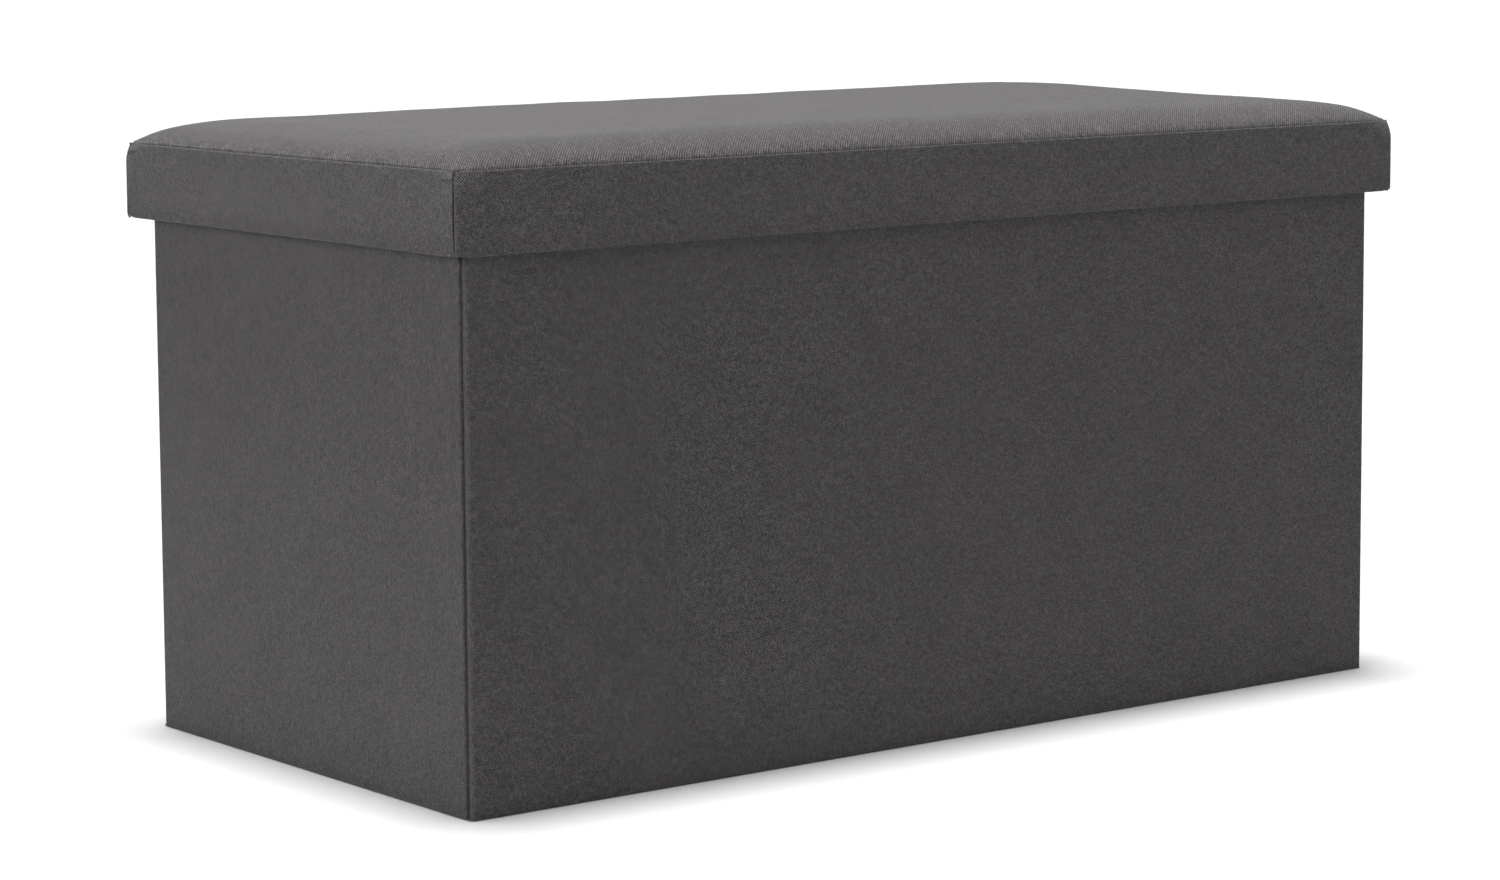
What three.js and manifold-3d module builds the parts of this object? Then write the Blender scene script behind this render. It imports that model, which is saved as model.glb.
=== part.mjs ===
// Storage bench: a fold-flat box of fabric-covered boards with a padded lift-off lid.
// Units are millimetres. X runs along the bench, -Y is the front, Z is up.
// The origin is the middle of the footprint, on the floor.
import * as THREE from 'three';
import Module from 'manifold-3d';
import { mergeVertices } from 'three/addons/utils/BufferGeometryUtils.js';

// ---- Driving dimensions ----
const LID_LENGTH = 760; // over the skirt, along X
const LID_DEPTH = 380; // over the skirt, along Y
const LID_OVERHANG = 11.5; // how far the skirt stands out past the walls
const SKIRT_BOTTOM = 328.4; // height of the skirt's lower edge
const SEAM_HEIGHT = 376.4; // height of the seam between skirt and top panel
const EDGE_ROLL = 12; // rise of the top panel over its rounded edge
const EDGE_ROLL_WIDTH = 47; // how far in that rounded edge reaches
const DOME = 5.6; // further rise from the rounded edge to the middle
const WALL_TOP = 352; // top of the bound wall edges

const GAP = 0.3; // between pieces that touch
const FABRIC = 1.0; // outer fabric
const LINING = 0.6; // lining cloth
const LONG_BOARD = 4.0; // front and back boards
const END_BOARD = 3.0; // half boards of the end walls
const FOLD_TAPE = 0.7; // tape over the gap between two half boards
const FOLD_TAPE_WIDTH = 40;
const HALF_BOARD_GAP = 1.5; // open line on which an end wall folds
const HINGE_GAP = 2.2; // end board to long board, so that the corner can fold
const BINDING = 0.8; // cloth that binds the walls' top edges
const BINDING_DROP = 15; // how far the binding reaches down each side
const CORNER_LEG = 6; // width of a soft corner on each face
const CORNER_RADIUS = 3; // outer radius of a soft corner

const BOTTOM_CLOTH = 0.8;
const BASE_BOARD = 3.0;
const BASE_CLOTH = 0.5;
const BASE_SIDE_CLEARANCE = 2.3; // base board to lining, ends and front
const BASE_HINGE_SET_IN = 3.0; // base hinge line to the back lining
const HINGE_STRIP = 0.5;
const HINGE_STRIP_WIDTH = 22;
const TAB_LENGTH = 30;
const TAB_WIDTH = 25;
const TAB_THICKNESS = 0.9;
const TAB_SET_BACK = 15; // front edge of the base board to the pull tab

const LID_BOARD = 5.0;
const RIM_BOARD = 4.0;
const SKIRT_HEM = 5.3; // skirt fabric turned in under the rim boards
const LID_REST_GAP = 0.6; // wall binding to lid lining
const LID_CORNER = 5; // outline radius of the top panel's corners
const TOP_WELL = 5; // how far the hollow under the top panel is cut below its seam
const CUT_PAST = 1; // how far a cutting block runs past the face it opens

// ---- Sizes that follow ----
const LID_X = LID_LENGTH / 2;
const LID_Y = LID_DEPTH / 2;
const BODY_X = LID_X - LID_OVERHANG;
const BODY_Y = LID_Y - LID_OVERHANG;
const SKIN = FABRIC + GAP; // outer face to board
const LINING_IN = SKIN + LONG_BOARD + GAP; // outer face to lining
const WALL = LINING_IN + LINING; // full wall thickness
const WALL_BOTTOM = BOTTOM_CLOTH + GAP;
const BOARD_TOP = WALL_TOP - BINDING - GAP;
const INNER_X = BODY_X - WALL;
const INNER_Y = BODY_Y - WALL;
const END_BOARD_Y = BODY_Y - SKIN - LONG_BOARD - HINGE_GAP;
const BASE_BOTTOM = BOTTOM_CLOTH + GAP;
const BASE_TOP = BASE_BOTTOM + 2 * (BASE_CLOTH + GAP) + BASE_BOARD;
const BASE_X = INNER_X - BASE_SIDE_CLEARANCE;
const BASE_FRONT = -(INNER_Y - BASE_SIDE_CLEARANCE);
const BASE_BACK = INNER_Y - BASE_HINGE_SET_IN;
const LID_LINING_BOTTOM = WALL_TOP + LID_REST_GAP;
const LID_BOARD_BOTTOM = LID_LINING_BOTTOM + LINING + GAP;
const LID_BOARD_TOP = LID_BOARD_BOTTOM + LID_BOARD;
const RIM_BOTTOM = SKIRT_BOTTOM + SKIN;
const RIM_TOP = LID_BOARD_BOTTOM - GAP;

// ---- Materials ----
const finishes = {
  charcoal: { color: 0x45454a, roughness: 0.95, metalness: 0 },
  lining: { color: 0x26262a, roughness: 0.95, metalness: 0 },
  board: { color: 0xa98b63, roughness: 0.85, metalness: 0 },
  foam: { color: 0xe6dcb8, roughness: 0.9, metalness: 0 },
  webbing: { color: 0x1f1f22, roughness: 0.8, metalness: 0 },
};

const bench = new THREE.Group();

function addPiece(name, geometry, finish) {
  const piece = new THREE.Mesh(geometry, new THREE.MeshStandardMaterial(finishes[finish]));
  piece.name = name;
  bench.add(piece);
  return piece;
}

// A plain slab between two corners, each given as [x, y, z] in any order.
function slab(a, b) {
  const low = a.map((value, i) => Math.min(value, b[i]));
  const high = a.map((value, i) => Math.max(value, b[i]));
  const size = high.map((value, i) => value - low[i]);
  const geometry = new THREE.BoxGeometry(...size);
  return geometry.translate(...low.map((value, i) => value + size[i] / 2));
}

// Gives corners on one side of the bench from a place along it, an inset from its face and a height.
function sidePlace(alongX, side, edge) {
  return (along, inset, z) => {
    const across = side * (edge - inset);
    return alongX ? [along, across, z] : [across, along, z];
  };
}

// ---- Solid cutting and joining ----
const wasm = await Module();
wasm.setup();

function toSolid(geometry) {
  const bare = geometry.clone();
  bare.deleteAttribute('normal');
  bare.deleteAttribute('uv');
  const merged = mergeVertices(bare, 1e-4);
  return new wasm.Manifold(new wasm.Mesh({
    numProp: 3,
    vertProperties: new Float32Array(merged.attributes.position.array),
    triVerts: new Uint32Array(merged.index.array),
  }));
}

function toGeometry(solid) {
  const mesh = solid.getMesh();
  const geometry = new THREE.BufferGeometry();
  geometry.setAttribute('position', new THREE.BufferAttribute(mesh.vertProperties, 3));
  geometry.setIndex(new THREE.BufferAttribute(mesh.triVerts, 1));
  return geometry;
}

function joined(...geometries) {
  return toGeometry(geometries.map(toSolid).reduce((all, solid) => all.add(solid)));
}

function cut(geometry, tool) {
  return toGeometry(toSolid(geometry).subtract(toSolid(tool)));
}

// ---- Walls ----
// Both long walls: cover, board and lining, mirrored from front to back.
function longWall(name, side) {
  const y = (inset) => side * (BODY_Y - inset);
  const coverX = BODY_X - CORNER_LEG - GAP;
  const boardX = BODY_X - CORNER_RADIUS;
  const liningX = BODY_X - LINING_IN;
  addPiece(`${name}_cover`, slab([-coverX, y(0), WALL_BOTTOM], [coverX, y(FABRIC), BOARD_TOP]), 'charcoal');
  addPiece(`${name}_board`, slab([-boardX, y(SKIN), WALL_BOTTOM],
    [boardX, y(SKIN + LONG_BOARD), BOARD_TOP]), 'board');
  addPiece(`${name}_lining`, slab([-liningX, y(LINING_IN), WALL_BOTTOM],
    [liningX, y(WALL), BOARD_TOP]), 'lining');
}

// Both end walls: cover, two half boards, the tape they fold on, and lining.
function endWall(name, side) {
  const x = (inset) => side * (BODY_X - inset);
  const coverY = BODY_Y - CORNER_LEG - GAP;
  const liningY = INNER_Y - GAP;
  const tapeIn = SKIN + END_BOARD + GAP;
  addPiece(`${name}_cover`, slab([x(0), -coverY, WALL_BOTTOM], [x(FABRIC), coverY, BOARD_TOP]), 'charcoal');
  for (const [half, sign] of [['front', -1], ['back', 1]]) {
    addPiece(`${name}_${half}_board`, slab([x(SKIN), sign * END_BOARD_Y, WALL_BOTTOM],
      [x(SKIN + END_BOARD), sign * HALF_BOARD_GAP / 2, BOARD_TOP]), 'board');
  }
  addPiece(`${name}_fold_tape`, slab([x(tapeIn), -FOLD_TAPE_WIDTH / 2, WALL_BOTTOM],
    [x(tapeIn + FOLD_TAPE), FOLD_TAPE_WIDTH / 2, BOARD_TOP]), 'webbing');
  addPiece(`${name}_lining`, slab([x(LINING_IN), -liningY, WALL_BOTTOM],
    [x(WALL), liningY, BOARD_TOP]), 'lining');
}

// The soft upright corner that joins two covers: an angle of fabric, rounded outside.
function softCorner(name, sideX, sideY) {
  const outline = new THREE.Shape();
  outline.moveTo(-CORNER_LEG, 0);
  outline.lineTo(-CORNER_RADIUS, 0);
  outline.absarc(-CORNER_RADIUS, -CORNER_RADIUS, CORNER_RADIUS, Math.PI / 2, 0, true);
  outline.lineTo(0, -CORNER_LEG);
  outline.lineTo(-FABRIC, -CORNER_LEG);
  outline.lineTo(-FABRIC, -CORNER_RADIUS);
  outline.absarc(-CORNER_RADIUS, -CORNER_RADIUS, CORNER_RADIUS - FABRIC, 0, Math.PI / 2, false);
  outline.lineTo(-CORNER_LEG, -FABRIC);
  const height = BOARD_TOP - WALL_BOTTOM;
  const options = { depth: height, bevelEnabled: false, curveSegments: 6 };
  const geometry = new THREE.ExtrudeGeometry(outline, options);
  // The outline is the +X +Y corner; a turn about Z brings it to any other corner.
  const quarterTurns = { '1,1': 0, '-1,1': 1, '-1,-1': 2, '1,-1': 3 }[`${sideX},${sideY}`];
  geometry.rotateZ(quarterTurns * Math.PI / 2);
  geometry.translate(sideX * BODY_X, sideY * BODY_Y, WALL_BOTTOM);
  addPiece(name, geometry, 'charcoal');
}

// Cloth folded over the top edge of a wall: a channel, open downwards.
function rimBinding(name, alongX, side) {
  const outer = -BINDING - GAP; // inset of its outer face: it stands just outside the cover
  const inner = WALL + GAP + BINDING;
  const low = WALL_TOP - BINDING_DROP;
  const half = alongX ? BODY_X - outer : BODY_Y - inner - GAP;
  const edge = alongX ? BODY_Y : BODY_X;
  const corner = sidePlace(alongX, side, edge);
  const block = slab(corner(-half, outer, low), corner(half, inner, WALL_TOP));
  const slot = slab(corner(-half - CUT_PAST, outer + BINDING, low - CUT_PAST),
    corner(half + CUT_PAST, inner - BINDING, WALL_TOP - BINDING));
  let binding = cut(block, slot);
  if (alongX) {
    // The inner leg stops short of the end walls, which run into the corner.
    for (const end of [-1, 1]) {
      const pass = slab([end * (half + CUT_PAST), side * (edge - WALL), low - CUT_PAST],
        [end * (BODY_X - WALL - GAP), side * (edge - inner - CUT_PAST), WALL_TOP - BINDING]);
      binding = cut(binding, pass);
    }
  }
  addPiece(name, binding, 'charcoal');
}

// ---- Base ----
function bottomCloth() {
  addPiece('bottom_cloth', slab([-BODY_X, -BODY_Y, 0], [BODY_X, BODY_Y, BOTTOM_CLOTH]), 'lining');
}

function baseBoard() {
  const layer = (name, low, thickness, finish) => addPiece(name,
    slab([-BASE_X, BASE_FRONT, low], [BASE_X, BASE_BACK, low + thickness]), finish);
  layer('base_under_cloth', BASE_BOTTOM, BASE_CLOTH, 'lining');
  layer('base_board', BASE_BOTTOM + BASE_CLOTH + GAP, BASE_BOARD, 'board');
  layer('base_top_cloth', BASE_TOP - BASE_CLOTH, BASE_CLOTH, 'lining');
  const tabFront = BASE_FRONT + TAB_SET_BACK;
  addPiece('base_pull_tab', slab([-TAB_WIDTH / 2, tabFront, BASE_TOP + GAP],
    [TAB_WIDTH / 2, tabFront + TAB_LENGTH, BASE_TOP + GAP + TAB_THICKNESS]), 'webbing');
}

// The cloth hinge of the base: one strip on the wall and one on the board.
function baseHinge() {
  const low = BASE_TOP + GAP;
  addPiece('hinge_strip_wall', slab([-BASE_X, INNER_Y - GAP - HINGE_STRIP, low],
    [BASE_X, INNER_Y - GAP, low + HINGE_STRIP_WIDTH]), 'lining');
  addPiece('hinge_strip_base', slab([-BASE_X, BASE_BACK - HINGE_STRIP_WIDTH, low],
    [BASE_X, BASE_BACK, low + HINGE_STRIP]), 'lining');
}

// ---- Lid ----
// Points round a rounded rectangle, the same number at every size.
const CORNER_STEPS = 5;
const SIDE_STEPS_X = 20;
const SIDE_STEPS_Y = 10;

function roundedOutline(halfX, halfY, radius) {
  const points = [];
  const corners = [[1, 1, 0], [-1, 1, 90], [-1, -1, 180], [1, -1, 270]];
  corners.forEach(([sx, sy, start], index) => {
    const centre = new THREE.Vector2(sx * (halfX - radius), sy * (halfY - radius));
    for (let i = 0; i <= CORNER_STEPS; i += 1) {
      const angle = THREE.MathUtils.degToRad(start + (90 * i) / CORNER_STEPS);
      points.push(new THREE.Vector2(Math.cos(angle), Math.sin(angle)).multiplyScalar(radius).add(centre));
    }
    const steps = index % 2 === 0 ? SIDE_STEPS_X : SIDE_STEPS_Y;
    const [nx, ny, nextStart] = corners[(index + 1) % 4];
    const nextAngle = THREE.MathUtils.degToRad(nextStart);
    const next = new THREE.Vector2(Math.cos(nextAngle), Math.sin(nextAngle)).multiplyScalar(radius)
      .add(new THREE.Vector2(nx * (halfX - radius), ny * (halfY - radius)));
    const last = points[points.length - 1];
    for (let i = 1; i < steps; i += 1) points.push(last.clone().lerp(next, i / steps));
  });
  return points;
}

// Rise of the top panel above the seam, at a place and a distance in from the edge.
function crown(x, y, fromEdge) {
  const t = Math.min(1, fromEdge / EDGE_ROLL_WIDTH);
  const roll = EDGE_ROLL * Math.sqrt(1 - (1 - t) ** 2);
  return roll + DOME * (1 - (x / LID_X) ** 2) * (1 - (y / LID_Y) ** 2);
}

// Rings of the crowned surface, from the edge to a thin loop along the middle.
const RING_DISTANCES = [0, 0.6, 2, 4.5, 8, 13, 20, 30, 47, 80, 120, 160];

function crownRings(inset, lower) {
  const outer = roundedOutline(LID_X - inset, LID_Y - inset, LID_CORNER - inset);
  const reach = LID_Y - inset;
  return RING_DISTANCES.map((distance) => outer.map((point) => {
    const inward = new THREE.Vector2(Math.sign(point.x) * Math.max(0, Math.abs(point.x) - reach), 0);
    const place = point.clone().lerp(inward, distance / reach);
    return new THREE.Vector3(place.x, place.y, SEAM_HEIGHT + crown(place.x, place.y, distance) - lower);
  }));
}

// Joins rings into walls and closes the innermost ring with a fan about its middle.
function skinOf(rings, closeFirst, closeLast) {
  const count = rings[0].length;
  const positions = rings.flat().flatMap((point) => point.toArray());
  const index = [];
  for (let r = 0; r + 1 < rings.length; r += 1) {
    for (let i = 0; i < count; i += 1) {
      const a = r * count + i;
      const b = r * count + ((i + 1) % count);
      index.push(a, b, b + count, a, b + count, a + count);
    }
  }
  const fan = (ring, flip) => {
    const middle = positions.length / 3;
    const start = ring * count;
    const mean = rings[ring].reduce((sum, point) => sum.add(point), new THREE.Vector3()).divideScalar(count);
    positions.push(...mean.toArray());
    for (let i = 0; i < count; i += 1) {
      const a = start + i;
      const b = start + ((i + 1) % count);
      index.push(...(flip ? [middle, b, a] : [middle, a, b]));
    }
  };
  if (closeFirst) fan(0, true);
  if (closeLast) fan(rings.length - 1, false);
  const geometry = new THREE.BufferGeometry();
  geometry.setAttribute('position', new THREE.Float32BufferAttribute(positions, 3));
  geometry.setIndex(index);
  return geometry;
}

function lidFoam() {
  const rings = crownRings(SKIN, SKIN);
  const base = rings[0].map((point) => new THREE.Vector3(point.x, point.y, LID_BOARD_TOP + GAP));
  addPiece('lid_foam_pad', skinOf([base, ...rings], true, true), 'foam');
}

// The top panel: the crowned surface with the same surface one fabric thickness in cut away.
function lidTopCover() {
  const outside = crownRings(0, 0);
  const foot = outside[0].map((point) => new THREE.Vector3(point.x, point.y, SEAM_HEIGHT + GAP / 2));
  const inside = crownRings(FABRIC, FABRIC);
  const well = inside[0].map((point) => new THREE.Vector3(point.x, point.y, SEAM_HEIGHT - TOP_WELL));
  const block = skinOf([foot, ...outside.slice(1)], true, true);
  const hollow = skinOf([well, ...inside], true, true);
  addPiece('lid_top_cover', cut(block, hollow), 'charcoal');
}

// One side of the skirt, with its hem turned in under the rim board.
function skirtBand(name, alongX, side) {
  const edge = alongX ? LID_Y : LID_X;
  const half = alongX ? LID_X : LID_Y - FABRIC - GAP;
  const corner = sidePlace(alongX, side, edge);
  const face = slab(corner(-half, 0, SKIRT_BOTTOM), corner(half, FABRIC, SEAM_HEIGHT - GAP / 2));
  const hemHalf = alongX ? half - SKIN : half - SKIRT_HEM;
  const hem = slab(corner(-hemHalf, 0, SKIRT_BOTTOM), corner(hemHalf, SKIRT_HEM, SKIRT_BOTTOM + FABRIC));
  addPiece(name, joined(face, hem), 'charcoal');
}

function rimBoard(name, alongX, side) {
  const edge = (alongX ? LID_Y : LID_X) - SKIN;
  const half = alongX ? LID_X - SKIN : LID_Y - SKIN - RIM_BOARD - GAP;
  const corner = sidePlace(alongX, side, edge);
  addPiece(name, slab(corner(-half, 0, RIM_BOTTOM), corner(half, RIM_BOARD, RIM_TOP)), 'board');
}

// A shallow tray of cloth: the panel under the lid board and down the inside of the rim.
function lidLining() {
  const x = LID_X - SKIN - RIM_BOARD - GAP;
  const y = LID_Y - SKIN - RIM_BOARD - GAP;
  const tray = slab([-x, -y, SKIRT_BOTTOM + SKIN], [x, y, LID_LINING_BOTTOM + LINING]);
  const inside = slab([-x + LINING, -y + LINING, SKIRT_BOTTOM], [x - LINING, y - LINING, LID_LINING_BOTTOM]);
  addPiece('lid_lining', cut(tray, inside), 'lining');
}

function lid() {
  const x = LID_X - SKIN;
  const y = LID_Y - SKIN;
  addPiece('lid_board', slab([-x, -y, LID_BOARD_BOTTOM], [x, y, LID_BOARD_TOP]), 'board');
  lidFoam();
  lidTopCover();
  lidLining();
  for (const [name, alongX, side] of [
    ['front', true, -1], ['back', true, 1], ['left', false, -1], ['right', false, 1]]) {
    skirtBand(`lid_skirt_${name}`, alongX, side);
    rimBoard(`lid_rim_board_${name}`, alongX, side);
  }
}

// ---- Assembly ----
longWall('front', -1);
longWall('back', 1);
endWall('left_end', -1);
endWall('right_end', 1);
for (const [nameY, sideY] of [['front', -1], ['back', 1]]) {
  for (const [nameX, sideX] of [['left', -1], ['right', 1]]) {
    softCorner(`corner_${nameY}_${nameX}`, sideX, sideY);
  }
}
rimBinding('rim_binding_front', true, -1);
rimBinding('rim_binding_back', true, 1);
rimBinding('rim_binding_left', false, -1);
rimBinding('rim_binding_right', false, 1);
bottomCloth();
baseBoard();
baseHinge();
lid();

export default bench;
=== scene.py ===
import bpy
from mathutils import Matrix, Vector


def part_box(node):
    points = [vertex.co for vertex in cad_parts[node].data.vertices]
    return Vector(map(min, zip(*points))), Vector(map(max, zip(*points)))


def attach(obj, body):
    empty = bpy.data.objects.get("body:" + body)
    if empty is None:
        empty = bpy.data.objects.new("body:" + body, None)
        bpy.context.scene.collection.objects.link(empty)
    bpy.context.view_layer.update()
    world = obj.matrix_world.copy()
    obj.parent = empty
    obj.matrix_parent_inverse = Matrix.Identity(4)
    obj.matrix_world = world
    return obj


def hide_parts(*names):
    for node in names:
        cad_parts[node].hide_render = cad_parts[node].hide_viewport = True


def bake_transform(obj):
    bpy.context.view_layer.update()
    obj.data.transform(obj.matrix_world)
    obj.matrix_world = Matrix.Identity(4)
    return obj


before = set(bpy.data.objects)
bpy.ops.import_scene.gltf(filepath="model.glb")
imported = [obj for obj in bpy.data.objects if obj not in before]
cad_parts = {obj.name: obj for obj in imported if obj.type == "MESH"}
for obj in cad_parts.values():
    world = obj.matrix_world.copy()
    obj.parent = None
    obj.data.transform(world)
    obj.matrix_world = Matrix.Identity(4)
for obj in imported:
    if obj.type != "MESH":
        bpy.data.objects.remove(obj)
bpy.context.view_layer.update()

import math

import bmesh
import bpy
import numpy as np
from mathutils import Matrix, Vector

MM = 0.001


# ---- Places, read from the frame ----
def low(node, axis):
    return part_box(node)[0][axis]


def high(node, axis):
    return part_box(node)[1][axis]


X, Y, Z = 0, 1, 2
BODY_X = high("right_end_cover", X)
BODY_Y = high("back_cover", Y)
WALL_LOW = low("front_cover", Z)
WALL_TOP = high("rim_binding_front", Z)
LID_X = high("lid_skirt_right", X)
LID_Y = high("lid_skirt_back", Y)
SKIRT_LOW = low("lid_skirt_front", Z)
SEAM = high("lid_skirt_front", Z)
LINING_X = high("right_end_lining", X)  # outer faces of the wall lining
LINING_Y = high("back_lining", Y)
OUTER_CLOTH = 1.0 * MM
INNER_CLOTH = 0.6 * MM

# Each side's direction along the bench and its outward direction. The first crossed
# with up gives the second, so that a sheet's faces look outwards.
SIDES = {
    "front": (Vector((1, 0, 0)), Vector((0, -1, 0))),
    "back": (Vector((-1, 0, 0)), Vector((0, 1, 0))),
    "left": (Vector((0, -1, 0)), Vector((-1, 0, 0))),
    "right": (Vector((0, 1, 0)), Vector((1, 0, 0))),
}
LONG_SIDES = ("front", "back")
UP = Vector((0, 0, 1))


# ---- Camera ----
# Fitted to the photograph's straight edges.
CAMERA_PLACE = (-1.6293, -2.0672, 0.5255)
CAMERA_TURN = (37.82, -6.58, -0.36)  # yaw, pitch and roll in degrees
LENS = 96.26
LENS_SHIFT = -0.05


def make_camera():
    """Looks at the left front corner of the bench, from a little above the lid."""
    yaw, pitch, roll = (math.radians(angle) for angle in CAMERA_TURN)
    forward = Vector((math.sin(yaw) * math.cos(pitch), math.cos(yaw) * math.cos(pitch), math.sin(pitch)))
    level = Vector((math.cos(yaw), -math.sin(yaw), 0))
    upright = level.cross(forward)
    right = level * math.cos(roll) + upright * math.sin(roll)
    data = bpy.data.cameras.new("camera")
    data.sensor_width = 36
    data.lens = LENS
    data.shift_y = LENS_SHIFT
    data.clip_end = 200
    camera = bpy.data.objects.new("camera", data)
    bpy.context.scene.collection.objects.link(camera)
    turn = Matrix((right, right.cross(forward), -forward)).transposed().to_4x4()
    camera.matrix_world = Matrix.Translation(CAMERA_PLACE) @ turn
    bpy.context.scene.camera = camera


make_camera()


# ---- Material building ----
class Shader:
    """Short calls that build one material's node tree."""

    def __init__(self, name):
        self.material = bpy.data.materials.new(name)
        self.material.use_nodes = True
        self.tree = self.material.node_tree
        self.tree.nodes.clear()
        self.output = self.add("ShaderNodeOutputMaterial")
        self.surface = self.add("ShaderNodeBsdfPrincipled")
        self.link(self.surface.outputs["BSDF"], self.output.inputs["Surface"])

    def add(self, kind, **settings):
        node = self.tree.nodes.new(kind)
        for key, value in settings.items():
            setattr(node, key, value)
        return node

    def link(self, source, target):
        self.tree.links.new(source, target)

    def feed(self, target, value):
        """Gives an input a number, a colour or another node's output."""
        if isinstance(value, bpy.types.NodeSocket):
            self.link(value, target)
        elif target.type == "RGBA":
            target.default_value = (*value, 1)
        else:
            target.default_value = value

    def math(self, operation, *values):
        node = self.add("ShaderNodeMath", operation=operation)
        for target, value in zip(node.inputs, values):
            self.feed(target, value)
        return node.outputs[0]

    def vector(self, x, y, z=0.0):
        node = self.add("ShaderNodeCombineXYZ")
        for target, value in zip(node.inputs, (x, y, z)):
            self.feed(target, value)
        return node.outputs[0]

    def mix(self, factor, first, second):
        node = self.add("ShaderNodeMix", data_type="RGBA")
        self.feed(node.inputs["Factor"], factor)
        self.feed(node.inputs[6], first)
        self.feed(node.inputs[7], second)
        return node.outputs[2]

    def scaled(self, colour, amount):
        """A colour made lighter or darker by a number."""
        node = self.add("ShaderNodeVectorMath", operation="SCALE")
        self.feed(node.inputs[0], colour)
        self.feed(node.inputs["Scale"], amount)
        return node.outputs[0]

    def noise(self, vector, scale, detail=2.0, roughness=0.5):
        node = self.add("ShaderNodeTexNoise")
        self.feed(node.inputs["Vector"], vector)
        node.inputs["Scale"].default_value = scale
        node.inputs["Detail"].default_value = detail
        node.inputs["Roughness"].default_value = roughness
        return node.outputs["Fac"]

    def ranged(self, value, low_out, high_out, low_in=0.0, high_in=1.0):
        node = self.add("ShaderNodeMapRange")
        for target, number in zip(node.inputs, (value, low_in, high_in, low_out, high_out)):
            self.feed(target, number)
        return node.outputs[0]

    def cloth_axes(self):
        """The cloth's own two axes in metres, from the layer that every sheet carries."""
        source = self.add("ShaderNodeUVMap", uv_map="cloth")
        split = self.add("ShaderNodeSeparateXYZ")
        self.link(source.outputs["UV"], split.inputs[0])
        return split.outputs[0], split.outputs[1]

    def upright_axes(self):
        """An end wall's two axes in metres: across it and up."""
        split = self.add("ShaderNodeSeparateXYZ")
        self.link(self.object_place(), split.inputs[0])
        return split.outputs[1], split.outputs[2]

    def object_place(self):
        return self.add("ShaderNodeTexCoord").outputs["Object"]

    def bump(self, height, distance, strength=1.0):
        node = self.add("ShaderNodeBump")
        node.inputs["Strength"].default_value = strength
        node.inputs["Distance"].default_value = distance
        self.link(height, node.inputs["Height"])
        self.link(node.outputs["Normal"], self.surface.inputs["Normal"])

    def finish(self, colour, roughness, sheen=0.0, sheen_roughness=0.5, specular=0.3):
        self.feed(self.surface.inputs["Base Color"], colour)
        self.feed(self.surface.inputs["Roughness"], roughness)
        self.surface.inputs["Sheen Weight"].default_value = sheen
        self.surface.inputs["Sheen Roughness"].default_value = sheen_roughness
        self.surface.inputs["Specular IOR Level"].default_value = specular
        return self.material


# The charcoal cloth's sheen brightens it where it is seen at a slant.
SHEEN = 0.18
SHEEN_ROUGHNESS = 0.4


def woven(name, light, dark, pitch, relief):
    """A close weave of a light and a dark yarn, whose crossings line up more on one diagonal."""
    s = Shader(name)
    u, v = s.cloth_axes()
    x, y = (s.math("MULTIPLY", axis, 1 / pitch) for axis in (u, v))
    falling = s.math("COSINE", s.math("MULTIPLY", s.math("ADD", x, y), math.pi))
    rising = s.math("COSINE", s.math("MULTIPLY", s.math("SUBTRACT", x, y), math.pi))
    crossing = s.math("MULTIPLY_ADD", falling, 0.7, s.math("MULTIPLY", rising, 0.3))
    # No two crossings are alike, and each yarn drifts in tone along its own length.
    column, row = s.math("FLOOR", x), s.math("FLOOR", y)
    each = s.add("ShaderNodeTexWhiteNoise", noise_dimensions="2D")
    s.link(s.vector(column, row), each.inputs["Vector"])
    warp = s.noise(s.vector(column, s.math("MULTIPLY", y, 0.16)), 1.0, 2.0, 0.6)
    weft = s.noise(s.vector(s.math("MULTIPLY", x, 0.16), row, 7.3), 1.0, 2.0, 0.6)
    slub = s.math("MULTIPLY", s.ranged(warp, 0.76, 1.24, 0.3, 0.7), s.ranged(weft, 0.8, 1.2, 0.3, 0.7))
    blotch = s.noise(s.vector(u, v), 22.0, 3.0)
    shade = s.math("MULTIPLY", s.ranged(each.outputs["Value"], 0.6, 1.4), slub)
    shade = s.math("MULTIPLY", shade, s.ranged(blotch, 0.95, 1.05, 0.3, 0.7))
    grain = s.noise(s.vector(u, v, 1.7), 430.0, 2.0, 0.6)
    shade = s.math("MULTIPLY", shade, s.ranged(grain, 0.87, 1.13, 0.3, 0.7))
    yarn = s.mix(s.ranged(crossing, 0.0, 1.0, -0.6, 0.6), dark, light)
    s.bump(s.math("MULTIPLY_ADD", crossing, 0.5, 0.5), relief)
    return s.finish(s.scaled(yarn, shade), 0.95, SHEEN, SHEEN_ROUGHNESS, 0.2)


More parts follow.
